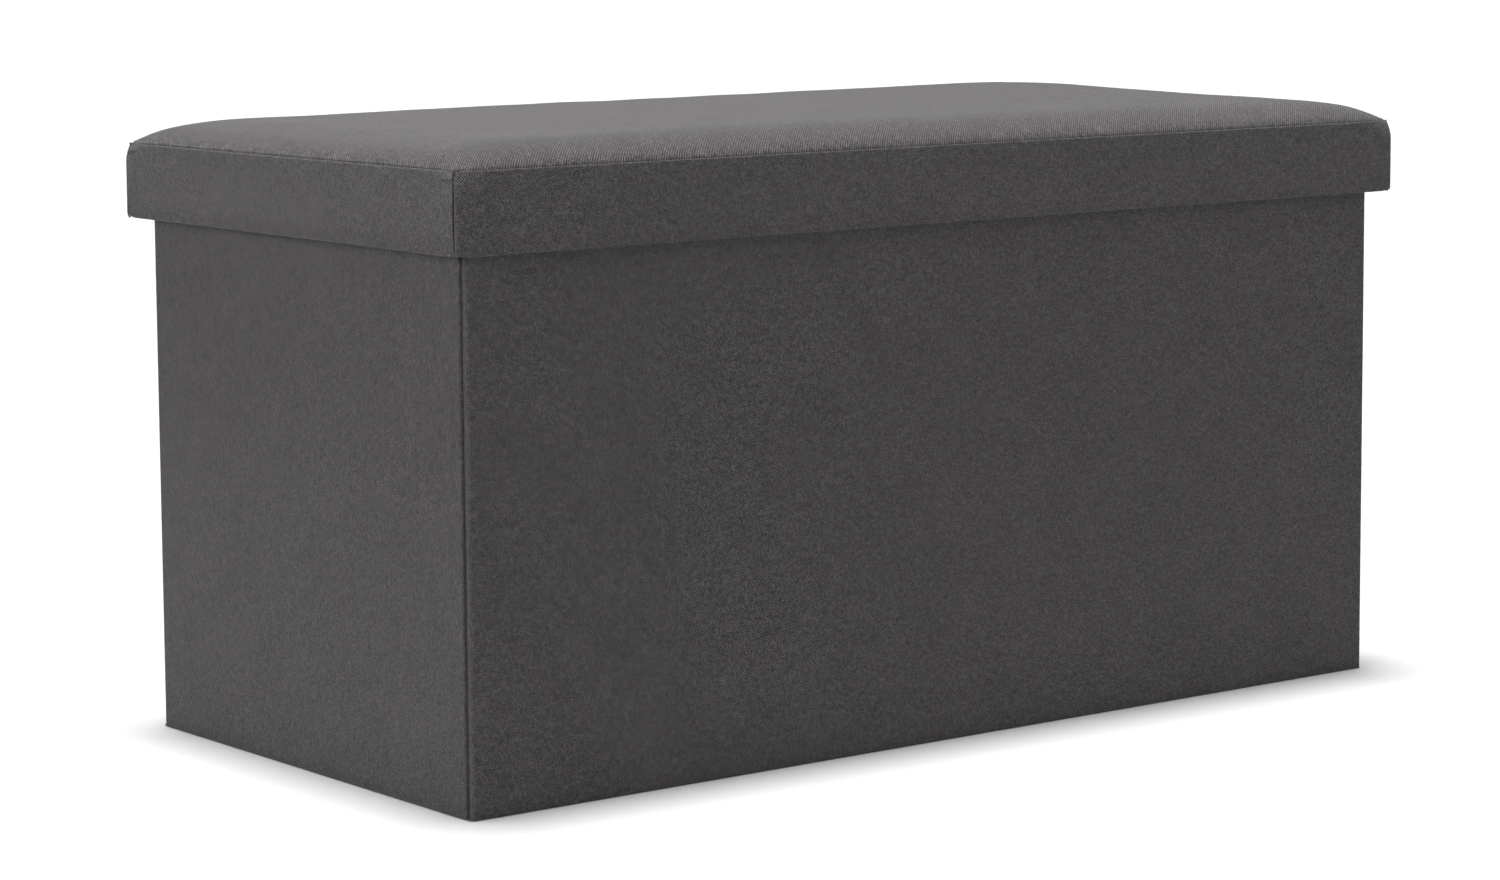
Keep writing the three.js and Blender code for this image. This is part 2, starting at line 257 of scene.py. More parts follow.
def spunbond(name, colour, dot_pitch):
    """Non-woven cloth: pressed dots in a staggered grid, over a haze of fine fibres."""
    s = Shader(name)
    u, v = s.cloth_axes()
    x, y = (s.math("MULTIPLY", axis, 1 / dot_pitch) for axis in (u, v))
    shifted = s.math("MULTIPLY_ADD", s.math("PINGPONG", s.math("FLOOR", y), 1.0), 0.5, x)
    from_x = s.math("SUBTRACT", s.math("FRACT", shifted), 0.5)
    from_y = s.math("SUBTRACT", s.math("FRACT", y), 0.5)
    reach = s.math("ADD", s.math("ABSOLUTE", from_x), s.math("ABSOLUTE", from_y))
    pressed = s.ranged(reach, 1.0, 0.0, 0.22, 0.34)
    fibres = s.noise(s.vector(s.math("MULTIPLY", u, 0.3), v), 2600.0, 4.0, 0.75)
    height = s.math("SUBTRACT", s.math("MULTIPLY", fibres, 0.4), pressed)
    tone = s.math("MULTIPLY", s.ranged(fibres, 0.6, 1.5, 0.3, 0.7), s.ranged(pressed, 1.0, 0.7))
    s.bump(height, 0.12 * MM)
    return s.finish(s.scaled(colour, tone), s.ranged(pressed, 0.9, 0.55), 0.1, 0.5, 0.3)


def hardboard(name, colour):
    """Pressed wood fibre: short flecks, with a faint crosswise drift in tone."""
    s = Shader(name)
    place = s.object_place()
    flecks = s.noise(place, 900.0, 5.0, 0.7)
    drift = s.noise(place, 14.0, 3.0)
    tone = s.math("MULTIPLY", s.ranged(flecks, 0.7, 1.3, 0.3, 0.7), s.ranged(drift, 0.9, 1.1))
    s.bump(flecks, 0.1 * MM)
    return s.finish(s.scaled(colour, tone), s.ranged(flecks, 0.9, 0.7), specular=0.3)


def open_foam(name, colour):
    """Cut foam: small open cells, slightly yellowed in patches."""
    s = Shader(name)
    place = s.object_place()
    cells = s.add("ShaderNodeTexVoronoi", feature="DISTANCE_TO_EDGE")
    s.link(place, cells.inputs["Vector"])
    cells.inputs["Scale"].default_value = 700.0
    wall = s.ranged(cells.outputs["Distance"], 1.0, 0.0, 0.0, 0.25)
    # The cell hollows are painted darker than the cell walls: painted shade in the hollows. The patchy
    # yellowing is the foam's own tone.
    tone = s.math("MULTIPLY", s.ranged(wall, 0.7, 1.0), s.ranged(s.noise(place, 9.0), 0.92, 1.06))
    s.bump(wall, 0.3 * MM)
    return s.finish(s.scaled(colour, tone), s.ranged(wall, 1.0, 0.85), 0.1)


def ribbed_tape(name, colour, rib, upright=False):
    """Woven tape: slanted ribs that reverse along a middle line, as in herringbone.
    An upright tape runs up an end wall, and takes its axes from the wall."""
    s = Shader(name)
    u, v = s.upright_axes() if upright else s.cloth_axes()
    folded = s.math("PINGPONG", s.math("MULTIPLY", u, 1 / rib), 4.0)
    phase = s.math("ADD", folded, s.math("MULTIPLY", v, 1 / rib))
    ribs = s.math("SINE", s.math("MULTIPLY", phase, 2 * math.pi))
    fine = s.noise(s.vector(u, v), 3000.0)
    # The ribs are painted lighter on their crests and darker in their valleys, in step with the bump:
    # painted highlight and painted shade. The fine noise is the tape's own tone.
    tone = s.math("MULTIPLY", s.ranged(ribs, 0.7, 1.3, -1.0, 1.0), s.ranged(fine, 0.85, 1.15, 0.3, 0.7))
    s.bump(ribs, 0.15 * MM)
    return s.finish(s.scaled(colour, tone), s.ranged(ribs, 0.85, 0.65, -1.0, 1.0), 0.15)


def sewing_thread(name, colour):
    """Twisted thread: fine slanted plies."""
    s = Shader(name)
    place = s.object_place()
    plies = s.add("ShaderNodeTexWave", bands_direction="DIAGONAL")
    s.link(place, plies.inputs["Vector"])
    plies.inputs["Scale"].default_value = 1200.0
    s.bump(plies.outputs["Fac"], 0.05 * MM)
    # The plies are painted lighter on their crests and darker between them, in step with the bump: painted
    # highlight and painted shade.
    tone = s.ranged(plies.outputs["Fac"], 0.75, 1.25)
    return s.finish(s.scaled(colour, tone), s.ranged(plies.outputs["Fac"], 0.7, 0.5), 0.1)


CHARCOAL = woven("charcoal weave", (0.0785, 0.0722, 0.077), (0.0185, 0.0172, 0.0183),
                 0.92 * MM, 0.25 * MM)
LINING = spunbond("black non-woven", (0.05, 0.05, 0.053), 1.6 * MM)
BOARD = hardboard("hardboard", (0.36, 0.24, 0.13))
FOAM = open_foam("foam", (0.72, 0.64, 0.42))
WEBBING = ribbed_tape("black tape", (0.022, 0.022, 0.024), 1.4 * MM)
FOLD_TAPE = ribbed_tape("black fold tape", (0.022, 0.022, 0.024), 1.4 * MM, upright=True)
THREAD = sewing_thread("charcoal thread", (0.10, 0.097, 0.10))


# ---- Mesh building ----
def add_object(name, vertices, faces, corner_uvs, material):
    """A smooth-shaded mesh with its cloth layer, one uv for each face corner."""
    mesh = bpy.data.meshes.new(name)
    mesh.from_pydata(np.asarray(vertices).tolist(), [], faces)
    layer = mesh.uv_layers.new(name="cloth")
    layer.data.foreach_set("uv", np.asarray(corner_uvs, np.float32).ravel())
    mesh.polygons.foreach_set("use_smooth", np.ones(len(mesh.polygons), bool))
    mesh.materials.append(material)
    mesh.update()
    piece = bpy.data.objects.new(name, mesh)
    bpy.context.scene.collection.objects.link(piece)
    return piece


def grid_normals(points, wrap):
    """Outward directions of a grid whose first index runs along and whose second runs up."""
    if wrap:
        along = np.roll(points, -1, 0) - np.roll(points, 1, 0)
    else:
        along = np.gradient(points, axis=0)
    up = np.gradient(points, axis=1)
    normals = np.cross(along, up)
    length = np.linalg.norm(normals, axis=2, keepdims=True)
    normals = normals / np.maximum(length, 1e-12)
    if wrap:
        normals[:, -1] = UP  # the sides of a ring sheet meet level, on its middle line
    return normals


def sheet_faces(count, rows, wrap):
    """Quads of a thin closed sheet: its outer face, its inner face behind that, and its edges."""
    back = count * rows
    faces = []
    for i in range(count if wrap else count - 1):
        this, following = i * rows, (i + 1) % count * rows
        for r in range(rows - 1):
            a, b, c, d = this + r, following + r, following + r + 1, this + r + 1
            faces += [(a, b, c, d), (back + d, back + c, back + b, back + a)]
        faces.append((following, this, back + this, back + following))
        if not wrap:
            a, b = this + rows - 1, following + rows - 1
            faces.append((a, b, back + b, back + a))
    if not wrap:
        last = (count - 1) * rows
        for r in range(rows - 1):
            faces.append((r, r + 1, back + r + 1, back + r))
            faces.append((last + r + 1, last + r, back + last + r, back + last + r + 1))
    return faces


def cloth(name, points, uvs, thickness, material, wrap=False):
    """A thin closed sheet. points is a grid on its outer face, and uvs their places on the cut cloth.
    A wrapped grid is a ring sheet: its last row lies along its middle line, where weld() joins it."""
    points, uvs = np.asarray(points, float), np.asarray(uvs, float)
    count, rows = points.shape[:2]
    inner = points - grid_normals(points, wrap) * thickness
    vertices = np.concatenate([points.reshape(-1, 3), inner.reshape(-1, 3)])
    faces = sheet_faces(count, rows, wrap)
    corner_uvs = uvs.reshape(-1, 2)[np.array(faces).ravel() % (count * rows)]
    return add_object(name, vertices, faces, corner_uvs, material)


def travelled(places, heights):
    """Distance along a path from its first point."""
    steps = np.hypot(np.diff(places), np.diff(heights))
    return np.concatenate([[0], np.cumsum(steps)])


def stations(places, depths):
    """Points across a cloth: their place, their depth behind the outer face, and the distance along."""
    places, depths = np.asarray(places, float), np.asarray(depths, float)
    distance = travelled(places, depths)
    return places, depths, distance - distance[-1] / 2


def arc(centre_place, centre_depth, radius, start, end, steps):
    """Places and depths round an arc, with angles in degrees: 0 points along, 90 points outwards."""
    angles = np.radians(np.linspace(start, end, steps + 1))
    return [(centre_place + radius * math.cos(a), centre_depth - radius * math.sin(a)) for a in angles]


def rolled_end(edge, radius, tuck, steps=5):
    """The low end of a cloth: a tuck that runs inwards, and the roll from it to the outer face."""
    points = arc(edge + radius, radius, radius, 180, 90, steps)
    return [(edge, radius + tuck)] + points


def across(low_end, high_end, step):
    """Stations from one end to the other, with plain cloth between. Both ends run from outside in."""
    (start, start_depth), (stop, stop_depth) = low_end[-1], high_end[-1]
    gap, sink = stop - start, stop_depth - start_depth
    plain = np.linspace(0, 1, max(2, round(gap / step)) + 1)[1:-1]
    middle = [(start + t * gap, start_depth + t * sink) for t in plain]
    points = list(low_end) + middle + list(reversed(high_end))
    return stations([p[0] for p in points], [p[1] for p in points])


def mirrored(end):
    return [(-place, depth) for place, depth in end]


def ripple(x, y, seed, shortest=0.05, longest=0.25):
    """A gentle unevenness from about -1 to 1, the same on every run."""
    rng = np.random.default_rng(seed)
    total = np.zeros(np.broadcast(x, y).shape)
    for _ in range(7):
        length, angle, phase = rng.uniform(shortest, longest), rng.uniform(0, math.pi), rng.uniform(0, 6.28)
        total = total + np.sin(2 * math.pi * (x * math.cos(angle) + y * math.sin(angle)) / length + phase)
    return total / 3.5


def side_points(side, plane, along, up, relief=0.0, drop=0.0):
    """Grid points on one side of the bench. plane is how far out its face is."""
    direction, outward = (np.array(axis) for axis in SIDES[side])
    depth = np.maximum(along[1][:, None], up[1][None, :])
    out = plane - depth + relief
    height = up[0][None, :] + drop + np.zeros_like(depth)
    place = along[0][:, None] + np.zeros_like(depth)
    return place[..., None] * direction + out[..., None] * outward + height[..., None] * np.array(UP)


def cut_uvs(along, up, crosswise=False):
    """Places on the cut cloth. A crosswise piece is cut with its weave a quarter turn round."""
    u, v = np.meshgrid(along[2], up[2], indexing="ij")
    return np.stack([v, -u] if crosswise else [u, v], -1)


def declare(piece, body, slot, *nodes):
    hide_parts(*nodes)
    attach(piece, body)


def smooth_bell(distance, width):
    return np.exp(-(distance / width) ** 2)


# ---- Box covers ----
# The long covers wrap the ends of the front and back boards in a soft bead, and the
# end covers roll in beside it, so that each upright corner is a groove and a bead.
def long_cover_end():
    bead = arc(-BODY_X + 4.75 * MM, 2.1 * MM, 2.6 * MM, 210, 80, 11)
    seam = [(-BODY_X + 2.3 * MM, 5.6 * MM), (-BODY_X + 2.3 * MM, 4.6 * MM)]
    settle = [(-BODY_X + 6.2 * MM, -0.3 * MM), (-BODY_X + 7 * MM, 0), (-BODY_X + 8.5 * MM, 0)]
    return seam + bead + settle


def end_cover_end():
    edge = -BODY_Y + 5.2 * MM
    roll = arc(edge + 1.3 * MM, 1.1 * MM, 1.3 * MM, 180, 90, 6)
    settle = [(edge + 2.4 * MM, -0.12 * MM), (edge + 4 * MM, 0)]
    return [(edge, 2.6 * MM)] + roll + settle


def box_covers():
    up = across(rolled_end(0.2 * MM, 1.4 * MM, 0.8 * MM), [(WALL_TOP - 1.3 * MM, 0.0)], 6 * MM)
    for seed, side in enumerate(SIDES, 11):
        long_side = side in LONG_SIDES
        end = long_cover_end() if long_side else end_cover_end()
        plane = BODY_Y if long_side else BODY_X
        along = across(end, mirrored(end), 6 * MM)
        u, v = np.meshgrid(along[0], up[0], indexing="ij")
        half = np.abs(along[0]).max()
        inside = np.clip((half - np.abs(u)) / (30 * MM), 0, 1) * np.clip((v - 2 * MM) / (25 * MM), 0, 1)
        relief = 0.3 * MM * ripple(u, v, seed) * inside
        points = side_points(side, plane, along, up, relief)
        name = f"cover_{side}"
        piece = cloth(name, points, cut_uvs(along, up, not long_side), OUTER_CLOTH, CHARCOAL)
        nodes, boards = [f"{side}_end_cover"], [f"{side}_end_front_board", f"{side}_end_back_board"]
        if long_side:
            nodes = [f"{side}_cover", f"corner_{side}_left", f"corner_{side}_right"]
            boards = [f"{side}_board"]
        declare(piece, "box", "charcoal_fabric", *nodes)


box_covers()


# ---- Skirt ----
SKIRT_CORNER = 2.4 * MM  # radius of the bead in which the front and back skirts turn a corner
ALLOWANCE = 5.3  # millimetres below the seam at which the cloth swells over the folded allowance
# The hem isn't quite level: how far it stands above the drawn edge at each corner.
HEM_LIFT = {("left", "front"): -1.0 * MM, ("right", "front"): 0.2 * MM,
            ("left", "back"): 0.4 * MM, ("right", "back"): 0.2 * MM}
SIDE_ENDS = {"front": ("left", "right"), "back": ("right", "left"),
             "left": ("back", "front"), "right": ("front", "back")}


def skirt_up():
    """Stations up a skirt: the tucked hem, the bowed face, the swell over the allowance, and the roll."""
    hem = [(1.2, 5.3), (0.3, 4.8), (0.0, 4.1), (0.0, 2.6)]
    low_roll = arc(1.0, 1.5, 1.0, 180, 90, 6)
    top = (SEAM - SKIRT_LOW) / MM
    face = []
    face_low, face_high = 1.0, top - ALLOWANCE - 0.6
    for t in np.linspace(0, 1, 17)[1:]:
        face.append((face_low + t * (face_high - face_low), 0.5 * (1 - t) - 0.7 * math.sin(math.pi * t)))
    ledge = [(top - ALLOWANCE, -0.05), (top - 4.9, -0.45), (top - 4.3, -0.62), (top - 3.3, -0.52),
             (top - 2.2, -0.3), (top - 1.3, -0.05)]
    roll = arc(top - 0.75, 0.75, 0.75, 80, 0, 5)
    points = hem + low_roll + face + ledge + roll + [(top - 0.2, 2.2)]
    return stations([SKIRT_LOW + p[0] * MM for p in points], [p[1] * MM for p in points])


def skirt_end(long_side):
    """A long skirt ends in a bead round the corner. A short one rolls in beside it, with a swell."""
    if long_side:
        bead = arc(-LID_X + 0.4 * MM + SKIRT_CORNER, SKIRT_CORNER, SKIRT_CORNER, 215, 90, 9)
        allowance = [(-LID_X + 1.15 * MM, depth * MM) for depth in (10, 7, 4.1)]
        return allowance + bead
    edge = -LID_Y + 4.4 * MM
    roll = arc(edge + 0.8 * MM, 0.05 * MM, 0.8 * MM, 180, 90, 6)
    swell = [(3, -0.75), (6, -0.5), (9.5, -0.12), (13, 0)]
    return [(edge, 1.1 * MM)] + roll + [(edge + inset * MM, depth * MM) for inset, depth in swell]


def hem_lift(side, share):
    """The hem's height along a side, from its lift at the two corners. share runs from -1 to 1."""
    lifts = [HEM_LIFT[(end, side) if side in LONG_SIDES else (side, end)] for end in SIDE_ENDS[side]]
    return np.interp(share, (-1, 1), lifts)


def ease_corners(points):
    """Rounds the lid's corners: drawn in towards the seam above, and a little at the hem."""
    reach = np.hypot(LID_X - np.abs(points[..., 0]), LID_Y - np.abs(points[..., 1]))
    upper = np.clip((points[..., 2] - SEAM + 12 * MM) / (12 * MM), 0, 1)
    lower = np.clip((SKIRT_LOW + 3.5 * MM - points[..., 2]) / (3.5 * MM), 0, 1)
    amount = 2.3 * MM * upper ** 1.8 * smooth_bell(reach, 14 * MM)
    amount = amount + 0.8 * MM * lower ** 2 * smooth_bell(reach, 4 * MM)
    eased = points.copy()
    eased[..., 0] -= np.sign(points[..., 0]) * amount
    eased[..., 1] -= np.sign(points[..., 1]) * amount
    return eased


def skirts():
    up = skirt_up()
    lowness = np.clip((SEAM - up[0]) / (SEAM - SKIRT_LOW), 0, 1)
    for seed, side in enumerate(SIDES, 21):
        long_side = side in LONG_SIDES
        end = skirt_end(long_side)
        along = across(end, mirrored(end), 6 * MM)
        half = np.abs(along[0]).max()
        u, v = np.meshgrid(along[0], up[0], indexing="ij")
        t = np.clip(np.abs(along[0]) / half, 0, 1)
        # The lower edge bows up a little between the corners, and is rounded at each of them.
        bow = 0.3 * MM * (1 - t ** 2) + hem_lift(side, along[0] / half)
        rounded = 0.9 * MM * smooth_bell(half - np.abs(along[0]), 3 * MM)
        drop = bow[:, None] * lowness[None, :] ** 1.5 + rounded[:, None] * lowness[None, :] ** 8
        inside = np.clip((half - np.abs(u)) / (30 * MM), 0, 1)
        relief = 0.2 * MM * ripple(u, v, seed) * inside
        points = ease_corners(side_points(side, LID_Y if long_side else LID_X, along, up, relief, drop))
        piece = cloth(f"skirt_{side}", points, cut_uvs(along, up, not long_side), OUTER_CLOTH, CHARCOAL)
        declare(piece, "lid", "charcoal_fabric", f"lid_skirt_{side}")


skirts()


# ---- Rounded rings, for pieces that cover the whole length and depth ----
def outline(half_x, half_y, radius, step):
    """Points round a rounded rectangle, anticlockwise from above, alike on facing sides."""
    points = []
    long_steps, short_steps = round(2 * half_x / step), round(2 * half_y / step)
    corners = [(1, 1, 0), (-1, 1, 90), (-1, -1, 180), (1, -1, 270)]
    for index, (sx, sy, start) in enumerate(corners):
        centre = np.array([sx * (half_x - radius), sy * (half_y - radius)])
        for angle in np.radians(np.linspace(start, start + 90, 7)):
            points.append(centre + radius * np.array([math.cos(angle), math.sin(angle)]))
        nx, ny, turn = corners[(index + 1) % 4]
        turn = math.radians(turn)
        following = np.array([nx * (half_x - radius), ny * (half_y - radius)])
        following = following + radius * np.array([math.cos(turn), math.sin(turn)])
        steps = long_steps if index % 2 == 0 else short_steps
        last = points[-1]
        points += [last + (following - last) * k / steps for k in range(1, steps)]
    return np.array(points)


def ring(outer, inset):
    """The outline drawn in by a distance, or out by a negative one. At full reach it is a line."""
    reach = outer[:, 1].max()
    middle = np.stack([np.sign(outer[:, 0]) * np.maximum(0, np.abs(outer[:, 0]) - reach),
                       np.zeros(len(outer))], 1)
    return outer + (middle - outer) * inset / reach


def ring_grid(outer, path):
    """Points and uvs for a path of (inset, height) from the edge inwards. The uvs keep its true length."""
    insets, heights = np.array(path).T
    along = travelled(insets, heights)
    virtual = insets[-1] - (along[-1] - along)
    points, uvs = [], []
    for inset, height, reach in zip(insets, heights, virtual):
        flat = ring(outer, inset)
        points.append(np.column_stack([flat, np.full(len(flat), height)]))
        uvs.append(ring(outer, reach))
    return np.array(points).transpose(1, 0, 2), np.array(uvs).transpose(1, 0, 2)


def weld(piece, distance=2e-6):
    """Joins the points that meet along the middle line of a ring sheet."""
    mesh = bmesh.new()
    mesh.from_mesh(piece.data)
    bmesh.ops.remove_doubles(mesh, verts=mesh.verts, dist=distance)
    mesh.to_mesh(piece.data)
    mesh.free()


# ---- Lid top ----
ROLL_RISE = 12.9 * MM
DOME = 6 * MM
SEAM_INSET = 1.5 * MM  # where the top panel starts, behind the skirt's upper edge
TOP_CORNER = 3.5 * MM
# Where the foam stands fuller: the place as shares of the half length and half depth, then
# the extra height and the reach each way in millimetres.
FULLNESS = ((0.87, 0.65, 3.2, 180, 120), (-0.88, -0.78, 1.0, 45, 45), (-0.5, -0.6, 0.8, 160, 90))
OUTLINE = outline(LID_X, LID_Y, TOP_CORNER, 8 * MM)
EDGE_INSETS = [0, 0.15, 0.4, 0.8, 1.4, 2.2, 3.2, 4.5, 6.2, 8.4, 11, 14.5, 19, 25, 32, 40]


def long_side_roll(inset):
    """Height, from 0 to 1, as the top rolls up from the front or back seam."""
    steep = np.sqrt(1 - (1 - np.clip(inset / (7 * MM), 0, 1)) ** 2)
    gentle = 1 - (1 - np.clip(inset / (40 * MM), 0, 1)) ** 2.2
    return 0.15 * steep + 0.85 * gentle


def end_roll(inset):
    """The ends start steeper, and go on rising further in."""
    steep = np.sqrt(1 - (1 - np.clip(inset / (19 * MM), 0, 1)) ** 2)
    gentle = 1 - (1 - np.clip(inset / (62 * MM), 0, 1)) ** 2
    return 0.52 * steep + 0.48 * gentle


def crown(x, y):
    """Rise of the top above its seam: it rolls up from all four edges, and sinks to the corners."""
    inset_x = np.maximum(LID_X - SEAM_INSET - np.abs(x), 0)
    inset_y = np.maximum(LID_Y - SEAM_INSET - np.abs(y), 0)
    full = ROLL_RISE
    for place_x, place_y, height, reach_x, reach_y in FULLNESS:
        away = np.hypot((x - place_x * LID_X) / reach_x, (y - place_y * LID_Y) / reach_y)
        full = full + height * MM * smooth_bell(away, MM)
    rise = full * end_roll(inset_x) * long_side_roll(inset_y)
    rise = rise + 0.8 * MM * (1 - np.exp(-np.minimum(inset_x, inset_y) / (0.6 * MM)))
    return rise + DOME * (1 - (x / LID_X) ** 2) * (1 - (y / LID_Y) ** 2)


def lid_top_points():
    insets = [SEAM_INSET + i * MM for i in EDGE_INSETS] + list(np.linspace(46 * MM, LID_Y, 18))
    tuck = [(SEAM_INSET + 0.9 * MM, -0.9 * MM), (SEAM_INSET + 0.1 * MM, -0.7 * MM)]
    points, uvs = ring_grid(OUTLINE, tuck + [(i, 0.0) for i in insets])
    rise = crown(points[..., 0], points[..., 1])
    rise[:, :len(tuck)] = 0
    points[..., 2] += SEAM + rise
    depth = np.array([t[0] for t in tuck] + insets)
    uneven = 0.25 * MM * ripple(points[..., 0], points[..., 1], 31) * np.clip(depth / (40 * MM), 0, 1)
    points[..., 2] += uneven
    return ease_corners(points), uvs


def lid_top():
    points, uvs = lid_top_points()
    crosswise = np.stack([uvs[..., 1], -uvs[..., 0]], -1)
    piece = cloth("lid_top_panel", points, crosswise, OUTER_CLOTH, CHARCOAL, wrap=True)
    weld(piece)
    declare(piece, "lid", "charcoal_fabric", "lid_top_cover")
    return points


FOAM_ROW = 7  # the row of the top panel under which the foam's sides stand
FOAM_INSET = 1.5 * MM  # the foam lies this far inside the top panel, and below it


def foam_grid(top_points):
    """Rows from the middle of the flat underside, out and up the sides, and over the crowned top."""
    base = high("lid_board", Z) + 0.3 * MM
    scale = np.array([(LID_X - FOAM_INSET) / LID_X, (LID_Y - FOAM_INSET) / LID_Y, 1])
    surface = top_points[:, FOAM_ROW:] * scale - np.array([0, 0, FOAM_INSET])
    edge = surface[:, :1]

    def level(row, z):
        return np.concatenate([row[..., :2], np.full(row[..., :1].shape, z)], -1)

    wall = [level(edge, z) for z in (base + 1 * MM, base + 9 * MM)]
    rounded = level(edge * np.array([0.998, 0.996, 1]), base)
    underside = []
    for share in (0.0, 0.3, 0.6, 0.9):
        flat = rounded.copy()
        line = np.sign(flat[..., 0]) * np.maximum(0, np.abs(flat[..., 0]) - LID_Y)
        flat[..., 0] = line + (flat[..., 0] - line) * share
        flat[..., 1] *= share
        underside.append(flat)
    return np.concatenate(underside + [rounded] + wall + [surface], 1)


def foam_pad(top_points):
    """The pad just under the top panel, as a closed ring of rows."""
    grid = foam_grid(top_points)
    count, rows = grid.shape[:2]
    faces = []
    for i in range(count):
        this, following = i * rows, (i + 1) % count * rows
        faces += [(this + r, following + r, following + r + 1, this + r + 1) for r in range(rows - 1)]
    vertices = grid.reshape(-1, 3)
    uvs = vertices[np.array(faces).ravel(), :2]
    piece = add_object("foam_pad", vertices, faces, uvs, FOAM)
    weld(piece)
    declare(piece, "lid", "foam", "lid_foam_pad")


foam_pad(lid_top())


# ---- Lining of the box ----
def box_lining():
    """Four panels of non-woven cloth inside the walls. Their faces look inwards."""
    up = across([(WALL_LOW, 0.0)], [(WALL_TOP - 1.6 * MM, 0.0)], 9 * MM)
    facing = {"front": "back", "back": "front", "left": "right", "right": "left"}
    for seed, side in enumerate(SIDES, 41):
        long_side = side in LONG_SIDES
        half = (LINING_X if long_side else LINING_Y) - INNER_CLOTH
        plane = -((LINING_Y if long_side else LINING_X) - INNER_CLOTH)
        end = arc(-half + 0.5 * MM, 0.5 * MM, 0.5 * MM, 180, 90, 3)
        along = across(end, mirrored(end), 9 * MM)
        u, v = np.meshgrid(along[0], up[0], indexing="ij")
        inside = np.clip((half - np.abs(u)) / (25 * MM), 0, 1)
        inside = inside * np.clip((WALL_TOP - 25 * MM - v) / (30 * MM), 0, 1)
        inside = inside * np.clip((v - 20 * MM) / (40 * MM), 0, 1)
        relief = 0.5 * MM * (ripple(u, v, seed, 0.03, 0.16) + 0.6) * inside
        points = side_points(facing[side], plane, along, up, relief)
        piece = cloth(f"lining_{side}", points, cut_uvs(along, up), INNER_CLOTH * 0.8, LINING)
        node = f"{side}_lining" if long_side else f"{side}_end_lining"
        declare(piece, "box", "lining_cloth", node)


box_lining()


# ---- Rim bindings ----
BINDING_LOW = low("rim_binding_front", Z)
BINDING_OUT = -low("rim_binding_front", Y)  # outer face of the binding
BINDING_DEPTH = high("rim_binding_front", Y) + BINDING_OUT
BINDING_END = high("rim_binding_right", X)


def binding_place(side):
    """Half the length of a side's binding, and how far out its outer face is."""
    return (BINDING_END, BINDING_OUT) if side in LONG_SIDES else (BINDING_OUT, BINDING_END)


def mitred_strip(side, half, plane, section):
    """Grid points of a strip along one side. section is a list of (inset, height); its ends are mitred."""
    direction, outward = (np.array(axis) for axis in SIDES[side])
    insets, heights = np.array(section).T
    share = np.linspace(-1, 1, round(half / (6 * MM)) * 2 + 1)
    place = share[:, None] * (half - insets[None, :])
    out = np.zeros_like(place) + (plane - insets)[None, :]
    height = np.zeros_like(place) + heights[None, :]
    points = place[..., None] * direction + out[..., None] * outward + height[..., None] * np.array(UP)
    distance = travelled(insets, heights)
    uvs = np.stack([place, np.zeros_like(place) + distance[None, :]], -1)
    return points, uvs, distance[-1]


def rim_bindings():
    """A binding folded over each wall's top edge, down both its faces."""
    radius = 1.8 * MM
    first = [(inset, WALL_TOP - depth) for inset, depth in arc(radius, radius, radius, 180, 90, 5)]
    second = [(BINDING_DEPTH - inset, height) for inset, height in reversed(first)]
    section = [(0, BINDING_LOW), (0, BINDING_LOW + 6 * MM)] + first + second
    section += [(BINDING_DEPTH, BINDING_LOW + 6 * MM), (BINDING_DEPTH, BINDING_LOW)]
    for side in SIDES:
        half, plane = binding_place(side)
        points, uvs, girth = mitred_strip(side, half, plane, section)
        piece = cloth(f"rim_binding_cloth_{side}", points, uvs, 0.8 * MM, CHARCOAL)
        declare(piece, "box", "charcoal_fabric", f"rim_binding_{side}")


rim_bindings()


# ---- Stitches ----
STITCH, STITCH_GAP, STITCH_RADIUS = 3.4 * MM, 1.1 * MM, 0.3 * MM


def stitch_rows(name, body, rows):
    """Runs of stitches as one piece. Each row is (start, end, outward direction)."""
    along = [0.0, 0.12, 0.35, 0.65, 0.88, 1.0]
    width = [0.1, 0.75, 1.0, 1.0, 0.75, 0.1]
    angles = np.radians([0, 60, 120, 180, 240, 300])
    around, last_ring = len(angles), (len(along) - 1) * len(angles)
    vertices, faces = [], []
    for start, end, outward in rows:
        start, end, outward = Vector(start), Vector(end), Vector(outward)
        direction = (end - start).normalized()
        across_row = outward.cross(direction)
        count = int((end - start).length / (STITCH + STITCH_GAP))
        for k in range(count):
            first = start + direction * k * (STITCH + STITCH_GAP)
            base = len(vertices)
            for share, wide in zip(along, width):
                middle = first + direction * share * STITCH + outward * (wide - 0.7) * STITCH_RADIUS
                for angle in angles:
                    spread = across_row * math.cos(angle) + outward * math.sin(angle)
                    vertices.append(middle + spread * wide * STITCH_RADIUS)
            for ring_start in range(base, base + last_ring, around):
                for c in range(around):
                    a, b = ring_start + c, ring_start + (c + 1) % around
                    faces.append((a, a + around, b + around, b))
            faces.append(tuple(base + c for c in range(around)))
            faces.append(tuple(base + last_ring + c for c in reversed(range(around))))
    uvs = np.zeros((sum(len(face) for face in faces), 2))
    piece = add_object(name, [tuple(v) for v in vertices], faces, uvs, THREAD)
    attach(piece, body)


def side_row(side, half, plane, height, outward_sign=1):
    """A level row of stitches along one side. An outward_sign of -1 puts it on the inner face."""
    direction, outward = SIDES[side]
    start = -half * direction + plane * outward + height * UP
    return start, start + 2 * half * direction, outward * outward_sign


def rim_stitches():
    rows = []
    height = BINDING_LOW + 2.2 * MM
    for side in SIDES:
        half, plane = binding_place(side)
        rows.append(side_row(side, half - 3 * MM, plane, height))
        inner = plane - BINDING_DEPTH
        rows.append(side_row(side, half - BINDING_DEPTH - 4 * MM, inner, height, -1))
    stitch_rows("rim_stitches", "box", rows)


rim_stitches()


